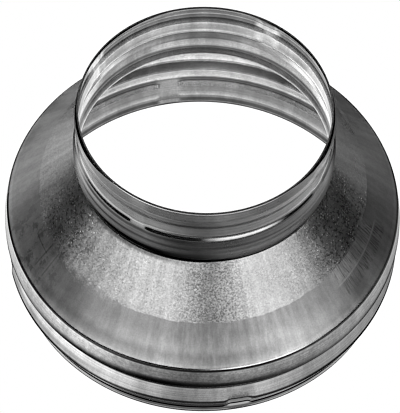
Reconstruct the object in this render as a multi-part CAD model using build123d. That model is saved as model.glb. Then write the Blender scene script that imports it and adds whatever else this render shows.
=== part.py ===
from build123d import *
from collections import namedtuple
import math
import os

# Concentric duct reducer, 200 to 125 mm, pressed from one galvanised sheet.
# It stands on the rim of its large collar, with the neck up; the axis is Z.
# Radii are of the sheet's outer face. Rises are heights, each from the fold below.

# The sheet
sheet = 0.7

# Large collar, from the foot up: rim edge, rim band, taper, round bead, seal groove, wide bead, top fold
collar_rim_radius = 95.5
collar_edge_rise = 1.0
collar_band_radius = 96.0
collar_turn_rise = 2.0
collar_band_rise = 3.0
collar_shoulder_radius = 97.7
collar_taper_rise = 6.0
collar_crest_radius = 99.6
collar_flank_rise = 3.0
collar_bead_rise = 2.2
collar_groove_radius = 96.9
collar_groove_fall_rise = 9.4
collar_groove_climb_rise = 5.4
collar_wide_bead_rise = 5.7
collar_top_radius = 98.15
collar_top_rise = 8.3

# Cone, from the collar's top fold to the neck's foot
cone_rise = 39.2

# Neck, from the cone up: swelled band, taper, step that stops the duct, seal groove, bead, rim taper, rim edge
neck_foot_radius = 61.9
neck_swell_radius = 63.2
neck_foot_rise = 4.3
neck_swell_rise = 7.0
neck_stop_radius = 62.15
neck_stop_rise = 6.2
neck_groove_radius = 60.85
neck_step_rise = 2.2
neck_groove_rise = 7.0
neck_crest_radius = 61.8
neck_flank_rise = 3.0
neck_bead_rise = 3.3
neck_rim_radius = 60.4
neck_rim_rise = 4.1
neck_edge_rise = 1.1

# Bend radii on the outer face
rim_edge_bend = 0.8
rim_band_bend = 1.0
shoulder_bend = 1.2
crest_foot_bend = 1.6
crest_bend = 4.0
groove_bend = 2.0
wide_bead_bend = 34.0
top_bend = 4.0
neck_foot_bend = 0.9
swell_bend = 10.0
step_bend = 4.0
flank_bend = 3.0

# Lands: four gaps in the beads of each collar, where the jaws that press the beads out part
land_count = 4
collar_land_width = 8.0
collar_land_blend = 4.0
collar_land_first = 12.0
collar_land_foot_radius = 95.8
collar_land_lean = 9.9
neck_land_width = 4.0
neck_land_blend = 4.0
neck_land_first = 61.0
neck_land_foot_radius = 62.05
neck_land_lean = -1.7

# Share of the beads that stays in a land
collar_bead_left = 0.1
neck_bead_left = 0.5

# Share of a straight leg that the bends at its two ends may each use up
bend_share = 0.48

# Fold: a corner of the section; left is the share of its bead that stays in a land
Fold = namedtuple("Fold", "radius height bend left")


def stack(rows, height):
    """Folds with heights summed from their rises, starting at the given height."""
    folds = []
    for radius, rise, bend, left in rows:
        height += rise
        folds.append(Fold(radius, height, bend, left))
    return folds


def faded(folds, foot_radius, lean, share):
    """The folds with each bead sunk, by a share, to what a land leaves of it.

    A land lies near the straight wall that leans out from the foot radius by an angle in degrees.
    """
    slope = math.tan(math.radians(lean))
    sunk = []
    for fold in folds:
        wall = foot_radius + slope * (fold.height - folds[0].height)
        in_land = wall + (fold.radius - wall) * fold.left
        sunk.append(fold._replace(radius=fold.radius + (in_land - fold.radius) * share))
    return sunk


def bend_radii(folds):
    """Bend radius at each inner fold, limited by the straight legs beside it."""
    radii = []
    for before, fold, after in zip(folds, folds[1:], folds[2:]):
        leg_in = Vector(fold.radius - before.radius, fold.height - before.height)
        leg_out = Vector(after.radius - fold.radius, after.height - fold.height)
        half_turn = math.radians(leg_in.get_angle(leg_out)) / 2
        room = bend_share * min(leg_in.length, leg_out.length) / math.tan(half_turn)
        radii.append(min(fold.bend, room))
    return radii


# Folds of the whole section
collar_folds = stack(
    [
        (collar_rim_radius, 0, 0, 1),
        (collar_rim_radius, collar_edge_rise, rim_edge_bend, 1),
        (collar_band_radius, collar_turn_rise, rim_edge_bend, collar_bead_left),
        (collar_band_radius, collar_band_rise, rim_band_bend, collar_bead_left),
        (collar_shoulder_radius, collar_taper_rise, shoulder_bend, collar_bead_left),
        (collar_crest_radius, collar_flank_rise, crest_foot_bend, collar_bead_left),
        (collar_crest_radius, collar_bead_rise, crest_bend, collar_bead_left),
        (collar_groove_radius, collar_groove_fall_rise, groove_bend, 1),
        (collar_crest_radius, collar_groove_climb_rise, crest_bend, 1),
        (collar_crest_radius, collar_wide_bead_rise, wide_bead_bend, 1),
        (collar_top_radius, collar_top_rise, top_bend, 1),
    ],
    0,
)
collar_top = collar_folds[-1]
neck_folds = stack(
    [
        (neck_foot_radius, 0, neck_foot_bend, 1),
        (neck_swell_radius, neck_foot_rise, swell_bend, 1),
        (neck_swell_radius, neck_swell_rise, swell_bend, 1),
        (neck_stop_radius, neck_stop_rise, step_bend, neck_bead_left),
        (neck_groove_radius, neck_step_rise, step_bend, neck_bead_left),
        (neck_groove_radius, neck_groove_rise, flank_bend, neck_bead_left),
        (neck_crest_radius, neck_flank_rise, groove_bend, neck_bead_left),
        (neck_crest_radius, neck_bead_rise, flank_bend, neck_bead_left),
        (neck_rim_radius, neck_rim_rise, rim_edge_bend, 1),
        (neck_rim_radius, neck_edge_rise, 0, 1),
    ],
    collar_top.height + cone_rise,
)

# Lands as angles: first centre, half width of the land and width of its blend
Lands = namedtuple("Lands", "first half blend")
pitch = 360 / land_count
collar_lands = Lands(
    collar_land_first,
    math.degrees(collar_land_width / collar_crest_radius) / 2,
    math.degrees(collar_land_blend / collar_crest_radius),
)
neck_lands = Lands(
    neck_land_first,
    math.degrees(neck_land_width / neck_crest_radius) / 2,
    math.degrees(neck_land_blend / neck_crest_radius),
)


def share_at(lands, azimuth):
    """How far the sheet is in a land at an azimuth: 0 in the beads, 1 in a land."""
    from_centre = abs((azimuth - lands.first + pitch / 2) % pitch - pitch / 2)
    share = (lands.half + lands.blend - from_centre) / lands.blend
    return round(min(1, max(0, share)), 6)


def folds_at(azimuth):
    """Folds of the whole section at an azimuth, foot to neck rim."""
    collar = faded(
        collar_folds,
        collar_land_foot_radius,
        collar_land_lean,
        share_at(collar_lands, azimuth),
    )
    neck = faded(
        neck_folds,
        neck_land_foot_radius,
        neck_land_lean,
        share_at(neck_lands, azimuth),
    )
    return collar + neck


def section(azimuth):
    """Face of the sheet's section in the half plane at an azimuth."""
    folds = folds_at(azimuth)
    points = [(fold.radius, fold.height) for fold in folds]
    outer = FilletPolyline(*points, radius=bend_radii(folds))
    profile = make_face(offset(outer, sheet, side=Side.LEFT, closed=True))
    return Plane.XZ.rotated((0, 0, azimuth)) * profile


def sector(start, end):
    """The sheet between two azimuths: turned where the section stays, blended where it changes."""
    if folds_at(start) == folds_at(end):
        return revolve(section(start), Axis.Z, end - start)
    return loft([section(start), section(end)], ruled=True)


# Azimuths where a land or a blend starts or ends, over one pitch of the lands
stations = sorted(
    (lands.first + reach) % pitch
    for lands in (collar_lands, neck_lands)
    for reach in (-lands.half - lands.blend, -lands.half, lands.half, lands.half + lands.blend)
)
stations.append(stations[0] + pitch)

# Reducer: one pitch of the sheet, repeated round the axis
sectors = [sector(start, end) for start, end in zip(stations, stations[1:])]
segment = sectors[0].fuse(*sectors[1:], glue=True)
segments = [place * segment for place in PolarLocations(0, land_count)]
reducer = segments[0].fuse(*segments[1:], glue=True).clean()

os.makedirs("parts", exist_ok=True)
export_step(reducer, "parts/reducer_shell.step")
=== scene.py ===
import math
from collections import namedtuple

import bpy
from mathutils import Matrix, Vector


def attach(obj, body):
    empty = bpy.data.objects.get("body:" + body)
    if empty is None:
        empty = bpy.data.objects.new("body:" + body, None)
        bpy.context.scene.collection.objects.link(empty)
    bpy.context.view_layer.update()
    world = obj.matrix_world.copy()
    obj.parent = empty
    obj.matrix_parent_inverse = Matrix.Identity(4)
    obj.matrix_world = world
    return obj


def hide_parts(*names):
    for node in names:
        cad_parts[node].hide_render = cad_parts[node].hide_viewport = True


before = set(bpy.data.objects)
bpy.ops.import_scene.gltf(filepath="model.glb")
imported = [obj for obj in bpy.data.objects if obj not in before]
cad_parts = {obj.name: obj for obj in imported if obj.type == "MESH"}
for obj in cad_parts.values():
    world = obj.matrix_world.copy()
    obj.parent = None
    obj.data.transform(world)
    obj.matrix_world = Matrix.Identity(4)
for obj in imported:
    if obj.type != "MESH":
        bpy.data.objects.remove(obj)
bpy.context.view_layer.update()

NODE = "reducer_shell"
MM = 0.001

# Sizes of the sheet, in millimetres, as the model has them
SHEET = 0.7
COLLAR_RIM = 95.5
COLLAR_CREST = 99.6
COLLAR_TOP = 98.15
CONE_RISE = 39.2
NECK_FOOT = 61.9
NECK_SWELL = 63.2
NECK_CREST = 61.8
NECK_RIM = 60.4

# Folds of the section, from the foot to the neck's rim:
# radius, rise from the fold below, bend radius, share of its bead left in a land
COLLAR_ROWS = [
    (COLLAR_RIM, 0, 0, 1),
    (COLLAR_RIM, 1.0, 0.8, 1),
    (96.0, 2.0, 0.8, 0.1),
    (96.0, 3.0, 1.0, 0.1),
    (97.7, 6.0, 1.2, 0.1),
    (COLLAR_CREST, 3.0, 1.6, 0.1),
    (COLLAR_CREST, 2.2, 4.0, 0.1),
    (96.9, 9.4, 2.0, 1),
    (COLLAR_CREST, 5.4, 4.0, 1),
    (COLLAR_CREST, 5.7, 34.0, 1),
    (COLLAR_TOP, 8.3, 4.0, 1),
]
NECK_ROWS = [
    (NECK_FOOT, 0, 0.9, 1),
    (NECK_SWELL, 4.3, 10.0, 1),
    (NECK_SWELL, 7.0, 10.0, 1),
    (62.15, 6.2, 4.0, 0.5),
    (60.85, 2.2, 4.0, 0.5),
    (60.85, 7.0, 3.0, 0.5),
    (NECK_CREST, 3.0, 2.0, 0.5),
    (NECK_CREST, 3.3, 3.0, 0.5),
    (NECK_RIM, 4.1, 0.8, 1),
    (NECK_RIM, 1.1, 0, 1),
]

# Share of a straight leg that the bends at its two ends may each use up
BEND_SHARE = 0.48

# Lands, the gaps in the beads: centre of the first, width, blend, radius they are measured on,
# and foot radius and lean of the wall they lie on
Lands = namedtuple("Lands", "first width blend crest foot lean")
LAND_COUNT = 4
LAND_PITCH = 360 / LAND_COUNT
COLLAR_LANDS = Lands(12.0, 8.0, 4.0, COLLAR_CREST, 95.8, 9.9)
NECK_LANDS = Lands(61.0, 4.0, 4.0, NECK_CREST, 62.05, -1.7)

# Mesh fineness: degrees between columns, away from the lands and across them, and steps in a bend
COARSE_STEP = 1.6
FINE_STEP = 0.45
ARC_STEPS = 5

# Material places of the sheet's mesh
OUTSIDE, INSIDE, EDGE = range(3)

Fold = namedtuple("Fold", "radius height bend left")


def stack(rows, height):
    """Folds with heights summed from their rises."""
    folds = []
    for radius, rise, bend, left in rows:
        height += rise
        folds.append(Fold(radius, height, bend, left))
    return folds


COLLAR_FOLDS = stack(COLLAR_ROWS, 0)
CONE_FOOT = COLLAR_FOLDS[-1].height
NECK_FOLDS = stack(NECK_ROWS, CONE_FOOT + CONE_RISE)
CONE_HEAD = NECK_FOLDS[0].height
HEAD = NECK_FOLDS[-1].height


def land_reach(lands):
    """Half a land and its blend, as angles."""
    return math.degrees(lands.width / lands.crest) / 2, math.degrees(lands.blend / lands.crest)


def share_at(lands, azimuth):
    """How far the sheet is in a land: 0 in the beads, 1 in a land, eased between."""
    half, blend = land_reach(lands)
    from_centre = abs((azimuth - lands.first + LAND_PITCH / 2) % LAND_PITCH - LAND_PITCH / 2)
    share = min(1, max(0, (half + blend - from_centre) / blend))
    return share * share * (3 - 2 * share)


def faded(folds, lands, azimuth):
    """The folds with each bead sunk to what a land leaves of it at an azimuth."""
    share = share_at(lands, azimuth)
    slope = math.tan(math.radians(lands.lean))
    sunk = []
    for fold in folds:
        wall = lands.foot + slope * (fold.height - folds[0].height)
        in_land = wall + (fold.radius - wall) * fold.left
        sunk.append(fold._replace(radius=fold.radius + (in_land - fold.radius) * share))
    return sunk


def rounded(folds):
    """Points of the outer face and their outward normals, with an arc at each fold."""
    corners = [Vector((fold.radius, fold.height)) for fold in folds]
    line = []
    first = (corners[1] - corners[0]).normalized()
    line.append((corners[0], Vector((first.y, -first.x))))
    for before, here, after, fold in zip(corners, corners[1:], corners[2:], folds[1:]):
        leg_in, leg_out = here - before, after - here
        turn = leg_in.angle_signed(leg_out)
        room = BEND_SHARE * min(leg_in.length, leg_out.length) / math.tan(abs(turn) / 2)
        bend = min(fold.bend, room)
        start = here - leg_in.normalized() * bend * math.tan(abs(turn) / 2)
        inward = Vector((-leg_in.y, leg_in.x)).normalized() * (-1 if turn > 0 else 1)
        centre = start + inward * bend
        for step in range(ARC_STEPS + 1):
            spoke = (start - centre).copy()
            spoke.rotate(Matrix.Rotation(-turn * step / ARC_STEPS, 2))
            out = spoke.normalized() * (1 if spoke.dot(Vector((leg_in.y, -leg_in.x))) > 0 else -1)
            line.append((centre + spoke, out))
    last = (corners[-1] - corners[-2]).normalized()
    line.append((corners[-1], Vector((last.y, -last.x))))
    return line


def azimuths():
    """Columns of the mesh, closer together across the lands."""
    found = [i * COARSE_STEP for i in range(round(360 / COARSE_STEP))]
    for lands in (COLLAR_LANDS, NECK_LANDS):
        reach = sum(land_reach(lands)) + COARSE_STEP
        steps = round(reach / FINE_STEP)
        for i in range(LAND_COUNT):
            centre = lands.first + i * LAND_PITCH
            found = [a for a in found if abs((a - centre + 180) % 360 - 180) > reach + FINE_STEP / 2]
            found += [(centre + k * FINE_STEP) % 360 for k in range(-steps, steps + 1)]
    return sorted(found)


def shell_mesh():
    """The pressed sheet as one closed grid.

    Its rows run up the outer face, over the rim, down the inner face and under the foot.
    """
    columns = azimuths()
    verts, faces = [], []
    for azimuth in columns:
        collar = faded(COLLAR_FOLDS, COLLAR_LANDS, azimuth)
        neck = faded(NECK_FOLDS, NECK_LANDS, azimuth)
        line = rounded(collar + neck)
        outer = [point for point, out in line]
        inner = [point - out * SHEET for point, out in reversed(line)]
        turn = math.radians(azimuth)
        for point in outer + inner:
            verts.append(Vector((point.x * math.cos(turn), point.x * math.sin(turn), point.y)) * MM)
    rows = len(outer) + len(inner)
    for i in range(len(columns)):
        here, there = i * rows, (i + 1) % len(columns) * rows
        for k in range(rows):
            up = (k + 1) % rows
            faces.append((here + k, there + k, there + up, here + up))
    mesh = bpy.data.meshes.new("pressed_sheet")
    mesh.from_pydata(verts, [], faces)
    mesh.validate()
    mesh.update()
    for index, polygon in enumerate(mesh.polygons):
        row = index % rows
        polygon.use_smooth = True
        if row in (len(outer) - 1, rows - 1):
            polygon.material_index = EDGE
        else:
            polygon.material_index = INSIDE if row >= len(outer) else OUTSIDE
    sharp = mesh.attributes.new("sharp_edge", "BOOLEAN", "EDGE")
    corner_rows = {0, len(outer) - 1, len(outer), rows - 1}
    for edge in mesh.edges:
        a, b = edge.vertices
        sharp.data[edge.index].value = a % rows == b % rows and a % rows in corner_rows
    return mesh


def node(tree, kind, inputs, **settings):
    """A node with its settings, and each input either linked or set."""
    made = tree.nodes.new("ShaderNode" + kind)
    for name, value in settings.items():
        setattr(made, name, value)
    for name, value in inputs.items():
        if isinstance(value, bpy.types.NodeSocket):
            tree.links.new(value, made.inputs[name])
        else:
            made.inputs[name].default_value = value
    return made


def reckon(tree, operation, first, second=0.0, third=0.0):
    """Result of a sum on two or three numbers or sockets."""
    return node(tree, "Math", {0: first, 1: second, 2: third}, operation=operation).outputs[0]


def product(tree, factors):
    """All the factors multiplied."""
    result = factors[0]
    for factor in factors[1:]:
        result = reckon(tree, "MULTIPLY", result, factor)
    return result


def between(tree, value, low, high, to_low=0.0, to_high=1.0):
    """The value mapped smoothly from one range to another."""
    inputs = {"Value": value, "From Min": low, "From Max": high, "To Min": to_low, "To Max": to_high}
    return node(tree, "MapRange", inputs, interpolation_type="SMOOTHSTEP").outputs["Result"]


def window(tree, value, low, high, soft):
    """1 between two bounds, 0 outside, with soft ends."""
    rise = between(tree, value, low - soft, low + soft)
    fall = between(tree, value, high - soft, high + soft, 1.0, 0.0)
    return reckon(tree, "MULTIPLY", rise, fall)


def patch(tree, *parts):
    """Product of masks and windows; a window is given as value, low, high and softness."""
    return product(tree, [window(tree, *part) if isinstance(part, tuple) else part for part in parts])


def inverse(tree, mask):
    """1 where the mask is 0, and 0 where it is 1."""
    return reckon(tree, "SUBTRACT", 1.0, mask)


def towards(tree, value, mask, target):
    """The value, changed to the target where the mask is 1."""
    return reckon(tree, "MULTIPLY_ADD", mask, reckon(tree, "SUBTRACT", target, value), value)


def marked(tree, marks):
    """Factors that change the finish by an amount where a mask is 1, from pairs of mask and amount."""
    return [reckon(tree, "MULTIPLY_ADD", mask, amount, 1.0) for mask, amount in marks]


def blend(tree, mask, first, second):
    """The first colour, changed to the second where the mask is 1."""
    return node(tree, "Mix", {"Factor": mask, "A": first, "B": second}, data_type="RGBA").outputs["Result"]


def level(tree, colour):
    """A grey colour as a number."""
    return node(tree, "SeparateColor", {"Color": colour}).outputs["Red"]


def noise(tree, vector, scale, detail=2.0, rough=0.5):
    """Cloudy noise, around 0.5."""
    inputs = {"Vector": vector, "Scale": scale, "Detail": detail, "Roughness": rough}
    return node(tree, "TexNoise", inputs).outputs["Fac"]


def swing(tree, value, depth):
    """A factor near 1 that follows a noise by a depth."""
    return between(tree, value, 0.25, 0.75, 1 - depth, 1 + depth)


# Places on a surface, in millimetres, and in degrees round the axis: -90 is the front, 0 the right and
# 180 the left. The grid is a point for noise, stretched round the axis and along it.
Places = namedtuple("Places", "point x y z angle grid")


def places(tree):
    """The places that a material's patterns are set out by."""
    point = node(tree, "TexCoord", {}).outputs["Object"]
    point = node(tree, "VectorMath", {0: point, "Scale": 1 / MM}, operation="SCALE").outputs[0]
    x, y, z = node(tree, "SeparateXYZ", {"Vector": point}).outputs
    angle = reckon(tree, "MULTIPLY", reckon(tree, "ARCTAN2", y, x), 180 / math.pi)
    flat = node(tree, "VectorMath", {0: point, 1: (1, 1, 0)}, operation="MULTIPLY").outputs[0]
    round_axis = node(tree, "VectorMath", {0: flat}, operation="NORMALIZE").outputs[0]
    turned = node(tree, "SeparateXYZ", {"Vector": round_axis})

    def grid(across, along):
        inputs = {
            "X": reckon(tree, "MULTIPLY", turned.outputs[0], across),
            "Y": reckon(tree, "MULTIPLY", turned.outputs[1], across),
            "Z": reckon(tree, "MULTIPLY", z, along),
        }
        return node(tree, "CombineXYZ", inputs).outputs[0]

    return Places(point, x, y, z, angle, grid)


def from_front(tree, at):
    """Angle from the front, so that it jumps at the back."""
    return reckon(tree, "WRAP", reckon(tree, "ADD", at.angle, 90.0), 180.0, -180.0)


def ring_tones(tree, distance, stops):
    """Grey by a distance in millimetres, between the given stops."""
    reach = stops[-1][0]
    ramp = node(tree, "ValToRGB", {"Fac": reckon(tree, "DIVIDE", distance, reach)})
    points = ramp.color_ramp.elements
    while len(points) < len(stops):
        points.new(0.5)
    for element, (place, grey) in zip(points, stops):
        element.position = place / reach
        element.color = (grey, grey, grey, 1)
    return ramp.outputs["Color"]


def metal(name):
    """A metal material with its node tree and shader."""
    material = bpy.data.materials.new(name)
    material.use_nodes = True
    tree = material.node_tree
    shader = tree.nodes["Principled BSDF"]
    shader.inputs["Metallic"].default_value = 1
    return material, tree, shader


def spangled_normal(tree, point, cell_scale, lean):
    """Surface normal that leans at random in each small zinc crystal."""
    cells = node(tree, "TexVoronoi", {"Vector": point, "Scale": cell_scale}).outputs["Color"]
    to_even = {0: cells, 1: (2, 2, 2), 2: (-1, -1, -1)}
    even = node(tree, "VectorMath", to_even, operation="MULTIPLY_ADD").outputs[0]
    square = node(tree, "VectorMath", {0: even, 1: even}, operation="MULTIPLY").outputs[0]
    cube = node(tree, "VectorMath", {0: square, 1: even}, operation="MULTIPLY").outputs[0]
    offset = node(tree, "VectorMath", {0: cube, "Scale": lean}, operation="SCALE").outputs[0]
    normal = node(tree, "NewGeometry", {}).outputs["Normal"]
    leaning = node(tree, "VectorMath", {0: normal, 1: offset}, operation="ADD").outputs[0]
    return node(tree, "VectorMath", {0: leaning}, operation="NORMALIZE").outputs[0]


def rim_shade(tree, z, depth):
    """Painted shade along the two cut rims, to a depth at the neck's."""
    from_head = reckon(tree, "SUBTRACT", HEAD, z)
    at_head = between(tree, reckon(tree, "SUBTRACT", from_head, depth), -0.15, 0.15, 0.1, 1.0)
    at_foot = between(tree, z, 0.5, 1.0, 0.25, 1.0)
    return reckon(tree, "MULTIPLY", at_head, at_foot)


def in_land(tree, lands, angle, spread=1.0):
    """1 in the middle of a land, 0 in the beads; the spread widens it."""
    half, blend_width = land_reach(lands)
    turned = reckon(tree, "SUBTRACT", angle, lands.first)
    aside = reckon(tree, "ABSOLUTE", reckon(tree, "WRAP", turned, LAND_PITCH / 2, -LAND_PITCH / 2))
    return between(tree, aside, half * spread, half * spread + blend_width, 1.0, 0.0)


# Ring on the cone below which the zinc is rubbed: mean height, and rise per millimetre towards the back
RING_HEIGHT = 65.0
RING_RISE = 0.022

# Tone of the zinc on the two faces, before its marks
OUTSIDE_TONE = 0.38
INSIDE_TONE = 0.76

Cone = namedtuple("Cone", "whole upper lower tilted")


def cone_zones(tree, at):
    """The cone, its spangled upper and rubbed lower zone, and height as the ring between them tilts."""
    tilted = reckon(tree, "MULTIPLY_ADD", at.y, -RING_RISE, at.z)
    wander = reckon(tree, "MULTIPLY_ADD", noise(tree, at.grid(9, 0), 1, 3), 1.6, -0.8)
    frayed = window(tree, at.angle, -166, -116, 14)
    fray = between(tree, noise(tree, at.point, 0.4, 3, 0.7), 0.3, 0.7, -1.6, 1.6)
    ring = reckon(tree, "MULTIPLY_ADD", frayed, fray, reckon(tree, "ADD", tilted, wander))
    sharp = between(tree, ring, RING_HEIGHT - 0.3, RING_HEIGHT + 0.3)
    soft = between(tree, ring, RING_HEIGHT - 3, RING_HEIGHT + 3)
    whole = window(tree, at.z, CONE_FOOT + 0.6, CONE_HEAD - 0.2, 0.4)
    upper = reckon(tree, "MULTIPLY", towards(tree, sharp, frayed, soft), whole)
    lower = reckon(tree, "SUBTRACT", whole, upper)
    return Cone(whole, upper, lower, tilted)


def cone_marks(tree, at, cone, cloud):
    """Factors of the cone's tone: grain, specks, smudges, streaks, rubbed patches and scratches, and
    painted shade in patches on its left, front and right.
    """
    angle = at.angle
    coarse = between(tree, noise(tree, at.point, 1.1, 2, 0.7), 0.3, 0.7, -1.0, 1.0)
    depth = reckon(tree, "MULTIPLY_ADD", window(tree, angle, -95, -75, 6), 0.35, 0.12)
    grain = product(tree, [coarse, depth, cone.upper])

    specked = reckon(tree, "ADD", window(tree, angle, -167, -138, 7), window(tree, angle, -42, -6, 8))
    cells = node(tree, "TexVoronoi", {"Vector": at.point, "Scale": 0.9})
    chance = node(tree, "SeparateXYZ", {"Vector": cells.outputs["Color"]}).outputs[0]
    bright = between(tree, chance, 0.3, 1.0)
    dot = between(tree, cells.outputs["Distance"], 0.1, 0.5, 1.0, 0.0)
    clumps = between(tree, noise(tree, at.point, 0.25, 2), 0.4, 0.62)
    specks = product(tree, [bright, dot, specked, cone.upper, clumps])
    spots = between(tree, noise(tree, at.point, 0.62, 3, 0.7), 0.48, 0.62)
    blots = product(tree, [spots, specked, cone.upper])
    # Painted shade: a darker patch on the upper cone's left
    upper_left_shade = patch(tree, (angle, -162, -150, 6), cone.upper)
    stains = between(tree, noise(tree, at.point, 0.16, 3, 0.65), 0.5, 0.62)
    smudges = patch(tree, stains, (angle, -168, -142, 8), cone.lower)

    streaks = swing(tree, noise(tree, at.grid(34, 0.13), 1, 3, 0.65), 0.15)
    streaked = patch(tree, (angle, -108, -58, 12), cone.lower)

    # Painted shade on the lower cone: darker on its left, its right and the left of its front, near the
    # ring at the front, and just above the fold from the collar
    aside = from_front(tree, at)
    fading = between(tree, at.z, CONE_FOOT, CONE_FOOT + 12, 0.6, 1.0)
    cone_left_shade = patch(tree, (aside, -84, -40, 10), fading, cone.lower)
    cone_right_shade = patch(tree, (aside, 66, 92, 10), cone.lower)
    lower_left_shade = patch(tree, (angle, -142, -118, 8), cone.lower)
    near_ring_shade = patch(tree, between(tree, at.z, 52, 60), (angle, -124, -46, 8), cone.lower)
    past_corner_shade = patch(tree, (at.z, CONE_FOOT + 3, CONE_FOOT + 6, 2), (angle, -165, -65, 12))

    rubbed = patch(tree, (angle, -40, -15, 1.5), (cone.tilted, 59.4, 66.6, 0.3))
    below = patch(tree, (angle, -40, -12, 2), (cone.tilted, 53.5, 58.4, 0.8))
    strokes = between(tree, noise(tree, at.grid(110, 0.16), 1, 3, 0.6), 0.42, 0.66)
    broken = between(tree, cloud, 0.3, 0.6, 0.4, 1.0)
    hatch = product(tree, [strokes, reckon(tree, "ADD", rubbed, below), broken])
    mark_line = patch(tree, (angle, -40, -13, 2), (cone.tilted, 58.7, 59.3, 0.2))
    two_lines = reckon(
        tree, "ADD", window(tree, angle, -151.0, -150.4, 0.15), window(tree, angle, -146.6, -146.1, 0.15)
    )
    scratches = reckon(
        tree,
        "ADD",
        patch(tree, (angle, -158.6, -150.0, 0.4), (cone.tilted, 59.6, 60.1, 0.15)),
        patch(tree, (cone.tilted, 53.0, 64.5, 0.8), two_lines),
    )

    return [towards(tree, 1.0, streaked, streaks)] + marked(tree, [
        (grain, 1.0),
        (specks, 3.5),
        (blots, -0.6),
        (upper_left_shade, -0.4),
        (smudges, -0.4),
        (cone_left_shade, -0.55),
        (cone_right_shade, -0.5),
        (lower_left_shade, -0.26),
        (near_ring_shade, -0.3),
        (past_corner_shade, -0.28),
        (rubbed, 0.3),
        (hatch, -0.6),
        (mark_line, 0.4),
        (scratches, -0.3),
    ])


def collar_marks(tree, at):
    """Factors of the collar's tone, nearly all painted shade and highlights, and those of its painted dark
    lines that stay dark at a slant.
    """
    z, angle = at.z, at.angle
    land = in_land(tree, COLLAR_LANDS, angle)
    beads = inverse(tree, land)

    # Rim band and the tapered band above it: painted shade at the front of the rim band, in the creased
    # line above it, which climbs in each land, low in each land and on the tapered band, most at the front;
    # a painted highlight higher in each land
    crease_shade = window(tree, reckon(tree, "MULTIPLY_ADD", land, -5.5, z), 4.6, 6.4, 0.35)
    land_foot_shade = patch(tree, land, (z, 1.0, 6.0, 0.8))
    land_highlight = patch(tree, land, (z, 7.0, 9.8, 0.6))
    front_band_shade = patch(tree, (z, 0.5, 4.4, 0.5), (angle, -115, -70, 8))
    taper_shade = patch(tree, (z, 6.4, 12.0, 0.6), (angle, -135, -50, 12), beads)
    front_taper_shade = patch(tree, (z, 6.4, 12.0, 0.6), (angle, -116, -76, 6), beads)

    # Round bead, with painted shade on its crest at the sides, and the slope that falls from it to the
    # groove, painted lighter, with painted shade at its foot on the left and over it on the right, and
    # painted light on each land's wall
    at_side = inverse(tree, window(tree, angle, -122, -62, 8))
    crest_shade = patch(tree, (z, 16.0, 18.0, 0.4), at_side, beads)
    lit_flank = window(tree, z, 17.2, 26.2, 0.6)
    flank_foot_shade = patch(tree, (z, 17.5, 21.5, 1.2), (angle, -170, -122, 8))
    flank_right_shade = patch(tree, lit_flank, (angle, -64, -14, 8))
    land_wall_light = patch(tree, land, (z, 12, 26.2, 0.8))

    # Groove and wide bead: painted shade in the groove, more of it at the front and left, random blotches
    # on the bead, and painted shade on its top at the front and right
    hollow_shade = window(tree, z, 28.0, 34.5, 1.5)
    left_hollow_shade = patch(tree, (z, 27.5, 36.3, 2.0), (angle, -140, -88, 14))
    blotches = between(tree, noise(tree, at.point, 0.55, 3, 0.65), 0.35, 0.65, -1.0, 1.0)
    on_bead = patch(tree, (z, 27, 45, 1.5), blotches)
    bead_top_shade = patch(tree, (z, 38, 45.6, 2.5), (angle, -118, -30, 12))

    # Fold to the cone: a painted dark line of shade on the bend, a little higher at the sides, and a
    # painted highlight just above it
    lift = reckon(tree, "MULTIPLY_ADD", window(tree, angle, -130, -50, 25), -1.3, 1.3)
    from_corner = reckon(tree, "ADD", reckon(tree, "SUBTRACT", CONE_FOOT, z), lift)
    corner_highlight = window(tree, from_corner, -1.6, -0.2, 0.6)
    corner_shade = patch(tree, (from_corner, 0.1, 1.6, 0.3), between(tree, angle, -72, -42, 1.0, 0.6))

    # Nearly all of these are painted shade and highlights; only the blotches on the bead are the zinc's own
    finish_and_painted_light = marked(tree, [
        (crease_shade, -0.88),
        (land_foot_shade, -0.4),
        (land_highlight, 4.5),
        (front_band_shade, -0.4),
        (taper_shade, -0.55),
        (front_taper_shade, -0.7),
        (crest_shade, -0.75),
        (lit_flank, 1.1),
        (flank_foot_shade, -0.5),
        (flank_right_shade, -0.42),
        (land_wall_light, 0.2),
        (hollow_shade, -0.55),
        (left_hollow_shade, -0.7),
        (on_bead, 0.16),
        (bead_top_shade, -0.12),
        (corner_highlight, 0.2),
        (corner_shade, -0.85),
    ])
    # Painted shade that also darkens the grazing reflection
    edges = marked(tree, [
        (corner_shade, -0.9),
        (crease_shade, -0.8),
        (crest_shade, -0.7),
        (left_hollow_shade, -0.6),
        (front_taper_shade, -0.6),
    ])
    return finish_and_painted_light, edges


def neck_tone(tree, at, up_neck):
    """Painted bands of reflection and shade on the neck by height, at the front and at its sides, and an
    even tone on the back.
    """
    at_front = ring_tones(tree, up_neck, [
        (0, 0.03), (5, 0.04), (8, 0.15), (9.5, 0.3), (11, 0.19), (16.5, 0.24), (18.5, 0.7), (25, 0.72),
        (28, 0.4), (32, 0.4), (34.5, 0.7), (40, 0.7),
    ])
    at_sides = ring_tones(tree, up_neck, [
        (0, 0.1), (1.2, 0.1), (1.8, 0.3), (2.4, 0.08), (3.4, 0.08), (4.6, 0.3), (8, 0.42), (12, 0.42),
        (12.9, 0.22), (13.8, 0.42), (17, 0.45), (18.5, 0.75), (40, 0.75),
    ])
    facing = window(tree, at.angle, -144, -86, 14)
    tone = level(tree, blend(tree, facing, at_sides, at_front))
    below_neck = between(tree, at.z, CONE_HEAD - 0.5, CONE_HEAD + 0.5, 0.82, 0.0)
    tone = reckon(tree, "MINIMUM", reckon(tree, "ADD", tone, below_neck), 1.0)
    return towards(tree, tone, window(tree, at.angle, 14, 166, 10), 0.7)


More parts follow.
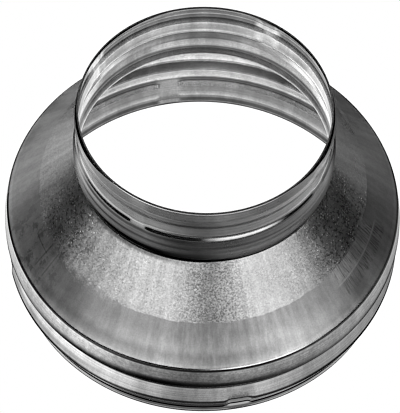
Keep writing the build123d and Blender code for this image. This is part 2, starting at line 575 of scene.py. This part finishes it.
def neck_marks(tree, at):
    """Factors of the neck's tone, nearly all painted reflections, shade and highlights, and those of its
    painted dark lines that stay dark at a slant.
    """
    z, angle = at.z, at.angle
    up_neck = reckon(tree, "SUBTRACT", z, CONE_HEAD)

    # Swelled foot: painted shade in the creased line at its foot and over its lower part on the left, with
    # one painted glint, painted light on the right, and more painted shade on the left of the swell
    foot_crease_shade = window(tree, z, CONE_HEAD - 0.1, CONE_HEAD + 1.1, 0.3)
    foot_glint = patch(tree, (up_neck, 1.4, 2.8, 0.5), (angle, -170, -112, 10))
    off_glint = inverse(tree, foot_glint)
    foot_shade = patch(tree, (up_neck, -1.6, 7.0, 0.8), (angle, -150, -100, 12), off_glint)
    foot_light = patch(tree, (up_neck, 2.0, 9.0, 1.0), (angle, -82, -40, 8))
    foot_edge_shade = patch(tree, (up_neck, -0.2, 3.4, 0.3), between(tree, angle, -86, -66, 1.0, 0.4), off_glint)
    swell_left_shade = patch(tree, (angle, -178, -118, 10), (z, CONE_HEAD, CONE_HEAD + 14, 2))

    # Two painted dark lines of shade below the step, at the front and left
    lines = reckon(
        tree, "ADD", window(tree, up_neck, 15.2, 17.4, 0.6), window(tree, up_neck, 11.2, 12.4, 0.8)
    )
    step_shade = patch(tree, lines, (angle, -155, -95, 10))

    # Groove, bead and rim above the step: painted shade on the left, painted light on the right, and a
    # painted highlight on the rim's upright top band at the front
    top_left_shade = patch(tree, (angle, -148, -106, 10), between(tree, z, CONE_HEAD + 19, CONE_HEAD + 21))
    top_right_light = patch(tree, (angle, -45, 10, 12), between(tree, z, CONE_HEAD + 18, CONE_HEAD + 20))
    lip_highlight = patch(tree, (angle, -150, -60, 12), between(tree, z, HEAD - 1.3, HEAD - 1.1))

    # The neck's bands are painted reflections and shade, and these marks are painted shade and highlights
    finish_and_painted_light = [neck_tone(tree, at, up_neck)] + marked(tree, [
        (foot_crease_shade, -0.7),
        (foot_glint, 14.0),
        (foot_shade, -0.66),
        (foot_light, 0.9),
        (swell_left_shade, -0.3),
        (step_shade, -0.55),
        (top_left_shade, -0.38),
        (top_right_light, 0.9),
        (lip_highlight, 2.0),
    ])
    # Painted shade that also darkens the grazing reflection
    edges = marked(tree, [
        (foot_edge_shade, -0.85),
        (foot_shade, -0.6),
        (step_shade, -0.6),
    ])
    return finish_and_painted_light, edges


def galvanised_outside():
    """Outer face: spangled upper cone, rubbed lower cone, drawn rings on the two collars, with painted
    shade, highlights and reflections on the cone, the collar, the neck and along the rims.
    """
    material, tree, shader = metal("galvanised_outside")
    at = places(tree)
    cone = cone_zones(tree, at)
    on_neck = between(tree, at.z, CONE_HEAD + 0.5, CONE_HEAD + 1.5)
    cloud = noise(tree, at.point, 0.06, 4, 0.6)
    grain = noise(tree, at.point, 1.7, 1, 0.6)
    mottle = noise(tree, at.point, 0.35, 3, 0.6)
    smears = swing(tree, noise(tree, at.grid(16, 0.03), 1, 3, 0.6), 0.16)
    drawn = swing(tree, noise(tree, at.grid(1.2, 2.2), 1, 2, 0.6), 0.2)
    # Painted rim shade, reaching deeper away from the front than at the front
    rim_depth = reckon(tree, "MULTIPLY_ADD", window(tree, at.angle, -142, -36, 18), -3.0, 3.6)
    rim = rim_shade(tree, at.z, rim_depth)
    collar_finish_and_painted_light, collar_slant_shade = collar_marks(tree, at)
    neck_finish_and_painted_light, neck_slant_shade = neck_marks(tree, at)

    base = [
        swing(tree, cloud, 0.12),
        swing(tree, grain, 0.06),
        swing(tree, mottle, 0.07),
        towards(tree, 1.0, inverse(tree, cone.whole), drawn),
        towards(tree, 1.0, inverse(tree, on_neck), smears),
        rim,
    ]
    finish_and_painted_light = base + cone_marks(tree, at, cone, cloud) + collar_finish_and_painted_light + neck_finish_and_painted_light
    tone = reckon(tree, "MULTIPLY", product(tree, finish_and_painted_light), OUTSIDE_TONE)
    tree.links.new(tone, shader.inputs["Base Color"])
    # The painted shade also darkens the grazing reflection
    tree.links.new(product(tree, [rim] + collar_slant_shade + neck_slant_shade), shader.inputs["Specular Tint"])

    rough = reckon(tree, "MULTIPLY_ADD", cone.lower, 0.25, 0.14)
    rough = reckon(tree, "MULTIPLY_ADD", cone.upper, 0.16, rough)
    step = window(tree, at.z, CONE_HEAD + 17, CONE_HEAD + 20.5, 0.5)
    plain_neck = reckon(tree, "SUBTRACT", on_neck, step)
    rough = reckon(tree, "MULTIPLY_ADD", plain_neck, 0.16, rough)
    rough = reckon(tree, "MULTIPLY", rough, swing(tree, cloud, 0.15))
    tree.links.new(rough, shader.inputs["Roughness"])

    lean = reckon(tree, "MULTIPLY_ADD", cone.upper, 0.03, 0.01)
    tree.links.new(spangled_normal(tree, at.point, 1.4, lean), shader.inputs["Normal"])
    return material


def galvanised_inside():
    """Inner face: smeared and spotted zinc, with painted reflections and shade in bands by height in the
    collar and the neck, painted highlights in the neck's lands and on its right, and painted shade along
    the rims.
    """
    material, tree, shader = metal("galvanised_inside")
    at = places(tree)
    grain = noise(tree, at.point, 1.2, 2, 0.6)
    cloud = noise(tree, at.point, 0.09, 4, 0.6)
    smears = noise(tree, at.grid(13, 0.05), 1, 3, 0.6)
    drawn = noise(tree, at.grid(1.2, 1.6), 1, 2, 0.6)
    # Painted bands of reflection and shade by height, in the collar and in the neck
    in_collar = ring_tones(tree, at.z, [
        (0, 0.4), (1.2, 0.4), (2.0, 0.14), (3.4, 0.13), (4.6, 0.38), (6.2, 0.52), (7.5, 0.37), (9, 0.26),
        (11.8, 0.28), (12.6, 0.7), (14.2, 0.8), (14.8, 0.16), (16.6, 0.1), (18.2, 0.5), (19.4, 1.2),
        (21.4, 1.25), (23, 0.95), (25.2, 0.8), (26.6, 0.5), (28, 0.36), (29.2, 0.22), (31, 0.18),
        (32.2, 0.65), (33.4, 0.75), (36, 0.6), (85.2, 0.55),
    ])
    up_neck = reckon(tree, "SUBTRACT", at.z, CONE_HEAD)
    at_back = ring_tones(tree, up_neck, [
        (0, 0.8), (1, 0.25), (4, 0.15), (5.1, 0.1), (6, 0.35), (7.5, 0.43), (9, 0.36), (11, 0.25),
        (14, 0.31), (17, 0.3), (18.2, 0.7), (19.8, 1.1), (21, 0.5), (22, 0.3), (24.5, 0.32), (27, 0.55),
        (28, 0.36), (29, 0.16), (32, 0.13), (33, 0.62), (34, 0.4), (36, 0.3), (38.2, 0.45),
    ])
    at_sides = ring_tones(tree, up_neck, [
        (0, 0.8), (1, 0.48), (2, 0.34), (4, 0.22), (5.1, 0.1), (6, 0.32), (7, 0.65), (11, 0.63), (13, 0.9),
        (15, 0.67), (17, 0.45), (18.5, 0.7), (20, 0.9), (21, 0.66), (22, 0.43), (26, 0.47), (27, 0.8),
        (28, 0.6), (29, 0.22), (32, 0.17), (33, 0.65), (34, 0.4), (36, 0.28), (38.2, 0.45),
    ])
    in_neck = blend(tree, window(tree, at.angle, 76, 104, 12), at_sides, at_back)
    painted_bands = level(tree, blend(tree, between(tree, at.z, 80, 81), in_collar, in_neck))
    # A painted highlight in the neck's lands, an even tone in the collar's lands below the round bead, and
    # painted light on the neck's right
    neck_land_highlight = patch(tree, in_land(tree, NECK_LANDS, at.angle, 2.2), (at.z, 92, 120.5, 0.8))
    flat_collar = patch(tree, in_land(tree, COLLAR_LANDS, at.angle), between(tree, at.z, 17, 19, 1.0, 0.0))
    painted_bands = towards(tree, painted_bands, neck_land_highlight, 0.75)
    painted_bands = towards(tree, painted_bands, flat_collar, 0.32)
    right_highlight = patch(tree, (at.angle, 2, 54, 8), (at.z, 92, 112, 1.0))
    # Painted rim shade, less deep at the back than elsewhere
    rim_depth = reckon(tree, "MULTIPLY_ADD", window(tree, at.angle, 60, 120, 14), -1.1, 1.8)
    rim = rim_shade(tree, at.z, rim_depth)
    tree.links.new(rim, shader.inputs["Specular Tint"])
    tone = product(tree, [
        INSIDE_TONE,
        painted_bands,
        swing(tree, cloud, 0.15),
        swing(tree, grain, 0.1),
        swing(tree, smears, 0.16),
        swing(tree, drawn, 0.08),
        rim,
    ] + marked(tree, [(right_highlight, 0.5)]))
    tree.links.new(tone, shader.inputs["Base Color"])
    tree.links.new(between(tree, cloud, 0.3, 0.7, 0.14, 0.22), shader.inputs["Roughness"])
    return material


def cut_edge():
    """Bare cut edge of the sheet, dark with uneven wear."""
    material, tree, shader = metal("cut_edge")
    shader.inputs["Roughness"].default_value = 0.5
    tone = between(tree, noise(tree, places(tree).point, 0.6, 3), 0.3, 0.7, 0.02, 0.05)
    tree.links.new(tone, shader.inputs["Base Color"])
    return material


def placed(name, data):
    """An object in the scene."""
    made = bpy.data.objects.new(name, data)
    bpy.context.scene.collection.objects.link(made)
    return made


# The object, with its materials in the order of the mesh's places
shell = placed("pressed_shell", shell_mesh())
shell.data.materials.append(galvanised_outside())
shell.data.materials.append(galvanised_inside())
shell.data.materials.append(cut_edge())
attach(shell, "root")
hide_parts(NODE)


def glowing(name):
    """Material of the stage that glows an even white and mirrors nothing."""
    material = bpy.data.materials.new(name)
    material.use_nodes = True
    shader = material.node_tree.nodes["Principled BSDF"]
    shader.inputs["Base Color"].default_value = (0, 0, 0, 1)
    shader.inputs["Specular IOR Level"].default_value = 0
    shader.inputs["Emission Color"].default_value = (1, 1, 1, 1)
    shader.inputs["Emission Strength"].default_value = 1
    return material


def disc(name, radius, height):
    """Round flat glowing piece of the stage."""
    sides = 96
    turns = [math.tau * i / sides for i in range(sides)]
    verts = [(radius * math.cos(turn), radius * math.sin(turn), height) for turn in turns]
    mesh = bpy.data.meshes.new(name)
    mesh.from_pydata(verts, [], [tuple(range(sides))])
    mesh.materials.append(glowing(name))
    made = placed(name, mesh)
    return made


def dome(name, radius):
    """Round glowing shell about the stage, seen from inside."""
    rings, sides = 24, 48
    verts, faces = [], []
    for i in range(rings + 1):
        rise = math.pi * (i / rings - 0.5)
        for k in range(sides):
            turn = math.tau * k / sides
            out = Vector((math.cos(rise) * math.cos(turn), math.cos(rise) * math.sin(turn), math.sin(rise)))
            verts.append(out * radius)
    for i in range(rings):
        here, above = i * sides, (i + 1) * sides
        for k in range(sides):
            right = (k + 1) % sides
            faces.append((here + k, here + right, above + right, above + k))
    mesh = bpy.data.meshes.new(name)
    mesh.from_pydata(verts, [], faces)
    mesh.materials.append(glowing(name))
    made = placed(name, mesh)
    return made


def seen_only(piece):
    """Keep a piece of the stage for the camera alone: it lights nothing and isn't mirrored."""
    piece.visible_glossy = False
    piece.visible_diffuse = False
    piece.visible_shadow = False


def grey(value):
    """An even grey colour."""
    return (value, value, value, 1)


def mirrored_table():
    """White table that only the metal mirrors, with rings in light and shade about the part."""
    table = disc("table", 0.45, -0.001)
    table.visible_camera = False
    tree = table.data.materials[0].node_tree
    at = places(tree)
    distance = node(tree, "VectorMath", {0: at.point}, operation="LENGTH").outputs["Value"]
    front = ring_tones(tree, distance, [
        (0, 1.0), (96, 0.4), (97, 0.4), (101, 0.4), (104, 0.06), (121, 0.05), (127, 0.35), (132, 0.62),
        (144, 0.68), (152, 0.9), (166, 0.9), (180, 0.3), (200, 0.2), (260, 0.1), (320, 0.1), (365, 0.9),
        (420, 0.9), (445, 0.05),
    ])
    left = ring_tones(tree, distance, [
        (0, 1.0), (96, 1.2), (100.5, 1.0), (102, 0.08), (108, 0.08), (110, 0.6), (120, 1.0), (130, 1.2),
        (150, 2.2), (170, 2.2), (185, 2.0), (230, 1.8), (260, 1.2), (450, 0.9),
    ])
    right = ring_tones(tree, distance, [
        (0, 1.0), (97, 0.9), (101, 0.6), (102.5, 0.05), (109, 0.05), (112, 0.3), (120, 0.6), (132, 0.8),
        (152, 1.1), (166, 1.1), (180, 0.5), (250, 0.4), (450, 0.3),
    ])
    sides = blend(tree, between(tree, at.x, -20, 20, 1.0, 0.0), right, left)
    to_front = between(tree, at.angle, -132, -104)
    before = patch(tree, to_front, between(tree, at.angle, -78, -34, 1.0, 0.0))
    outside = blend(tree, before, sides, front)
    shaded = patch(tree, between(tree, at.y, 30, 70), (distance, 120, 240, 15))
    outside = blend(tree, shaded, outside, grey(0.03))
    shadow = patch(tree, (at.angle, -100, -82, 6), (distance, 124, 172, 3), 0.5)
    outside = blend(tree, shadow, outside, grey(0.05))
    rings = reckon(
        tree, "ADD", window(tree, distance, 97, 103, 0.8), window(tree, distance, 122.5, 133, 1.0)
    )
    spot = patch(tree, (at.angle, -84, -72, 3), rings)
    outside = blend(tree, spot, outside, grey(0.4))

    behind = patch(tree, (at.y, 4, 60, 4), (at.x, -44, 40, 12))
    inside = reckon(tree, "MULTIPLY_ADD", behind, -0.9, 1.4)
    inside = reckon(tree, "MULTIPLY", inside, between(tree, distance, 82, 90, 1.0, 0.55))
    past_foot = between(tree, distance, COLLAR_RIM, COLLAR_RIM + 1)
    shader = tree.nodes["Principled BSDF"]
    tree.links.new(blend(tree, past_foot, inside, outside), shader.inputs["Emission Color"])


def light_tent():
    """Soft light about the part that only the metal mirrors, by angle from the front and elevation."""
    tent = dome("tent", 1.3)
    tent.visible_camera = False
    tent.visible_shadow = False
    tree = tent.data.materials[0].node_tree
    at = places(tree)
    distance = node(tree, "VectorMath", {0: at.point}, operation="LENGTH").outputs["Value"]
    sine = reckon(tree, "DIVIDE", at.z, distance)
    rise = reckon(tree, "MULTIPLY", reckon(tree, "ARCSINE", sine), 180 / math.pi)
    aside = from_front(tree, at)
    high = between(tree, rise, 36, 48, 1.0, 0.0)
    flat = between(tree, rise, 4, 18, 1.0, 0.0)
    parts = [
        patch(tree, (aside, -84, -5, 12), between(tree, rise, 13, 23), high, 3.2),
        patch(tree, (aside, -6, 20, 8), between(tree, rise, 12, 24), high, 0.2),
        patch(tree, (aside, 20, 74, 12), between(tree, rise, 10, 22), high, 2.4),
        patch(tree, (aside, 8, 52, 10), (rise, -3, 12, 3), 3.0),
        patch(tree, (aside, -172, -122, 8), flat, 1.0),
        patch(tree, (aside, 118, 172, 8), flat, 0.33),
        patch(tree, (aside, -180, -138, 6), flat, 0.85),
        patch(tree, (aside, 138, 180, 6), flat, 0.85),
        patch(tree, between(tree, rise, 54, 66), 0.7),
    ]
    glow = 0.01
    for part in parts:
        glow = reckon(tree, "ADD", part, glow)
    tree.links.new(glow, tree.nodes["Principled BSDF"].inputs["Emission Strength"])


def panel(name, azimuth, elevation, azimuth_span, elevation_span, radiance, distance):
    """Soft light panel that faces the object and fills a span of azimuth and elevation, in degrees."""
    turn, rise = math.radians(azimuth), math.radians(elevation)
    out = Vector((math.cos(turn) * math.cos(rise), math.sin(turn) * math.cos(rise), math.sin(rise)))
    data = bpy.data.lights.new(name, "AREA")
    data.shape = "RECTANGLE"
    data.size = 2 * distance * math.cos(rise) * math.tan(math.radians(azimuth_span) / 2)
    data.size_y = 2 * distance * math.tan(math.radians(elevation_span) / 2)
    data.energy = radiance * math.pi * data.size * data.size_y
    lamp = placed(name, data)
    lamp.location = out * distance
    lamp.rotation_euler = out.to_track_quat("Z", "Y").to_euler()
    lamp.visible_camera = False


# The stage: a white floor and surroundings that the camera sees, and what the metal mirrors
seen_only(disc("floor", 6.0, -0.002))
mirrored_table()
panel("key_behind", 90, 68, azimuth_span=60, elevation_span=22, radiance=8.0, distance=0.9)
light_tent()
seen_only(dome("backdrop", 5.9))

world = bpy.data.worlds.new("studio")
world.use_nodes = True
world.node_tree.nodes["Background"].inputs["Color"].default_value = grey(0.04)
bpy.context.scene.world = world
bpy.context.scene.view_settings.view_transform = "Standard"

# Camera, as the photo's: elevation and roll in degrees, distance in metres to a point on the axis,
# and focal length, meeting point of the axis of view and size of the picture in pixels
VIEW_ELEVATION = 56.47
VIEW_ROLL = 1.54
VIEW_DISTANCE = 1.0154
VIEW_TARGET = Vector((0, 0, 0.0336))
FOCAL_PIXELS = 2005.5
CENTRE_PIXELS = (202.5, 212.5)
PICTURE = (400, 413)
SENSOR_WIDTH = 36


def camera():
    """Camera at the photo's viewpoint."""
    data = bpy.data.cameras.new("camera")
    data.sensor_width = SENSOR_WIDTH
    data.lens = FOCAL_PIXELS / max(PICTURE) * SENSOR_WIDTH
    data.shift_x = -(CENTRE_PIXELS[0] - PICTURE[0] / 2) / max(PICTURE)
    data.shift_y = (CENTRE_PIXELS[1] - PICTURE[1] / 2) / max(PICTURE)
    elevation, roll = math.radians(VIEW_ELEVATION), math.radians(VIEW_ROLL)
    back = Vector((0, -math.cos(elevation), math.sin(elevation)))
    across = Vector((1, 0, 0))
    upright = back.cross(across)
    right = across * math.cos(roll) + upright * math.sin(roll)
    up = upright * math.cos(roll) - across * math.sin(roll)
    facing = Matrix((right, up, back)).transposed().to_4x4()
    viewer = placed("camera", data)
    viewer.matrix_world = Matrix.Translation(VIEW_TARGET + back * VIEW_DISTANCE) @ facing
    bpy.context.scene.camera = viewer


camera()

# Sharpening of the picture
DISPLAY_GAMMA = 2.2
BLUR_PIXELS = 2
SHARPENING = 0.8


def sharpened():
    """The last touch to the picture: a fine unsharp mask, on display values."""
    scene = bpy.context.scene
    scene.use_nodes = True
    tree = scene.node_tree
    tree.nodes.clear()
    picture = tree.nodes.new("CompositorNodeRLayers")
    shown = tree.nodes.new("CompositorNodeGamma")
    shown.inputs["Gamma"].default_value = 1 / DISPLAY_GAMMA
    soft = tree.nodes.new("CompositorNodeBlur")
    soft.filter_type = "GAUSS"
    soft.size_x = BLUR_PIXELS
    soft.size_y = BLUR_PIXELS
    edges = tree.nodes.new("CompositorNodeMixRGB")
    edges.blend_type = "SUBTRACT"
    edges.inputs[0].default_value = 1
    crisp = tree.nodes.new("CompositorNodeMixRGB")
    crisp.blend_type = "ADD"
    crisp.inputs[0].default_value = SHARPENING
    linear = tree.nodes.new("CompositorNodeGamma")
    linear.inputs["Gamma"].default_value = DISPLAY_GAMMA
    result = tree.nodes.new("CompositorNodeComposite")
    for source, target, place in [
        (picture, shown, "Image"),
        (shown, soft, "Image"),
        (shown, edges, 1),
        (soft, edges, 2),
        (shown, crisp, 1),
        (edges, crisp, 2),
        (crisp, linear, "Image"),
        (linear, result, "Image"),
    ]:
        tree.links.new(source.outputs["Image"], target.inputs[place])


sharpened()
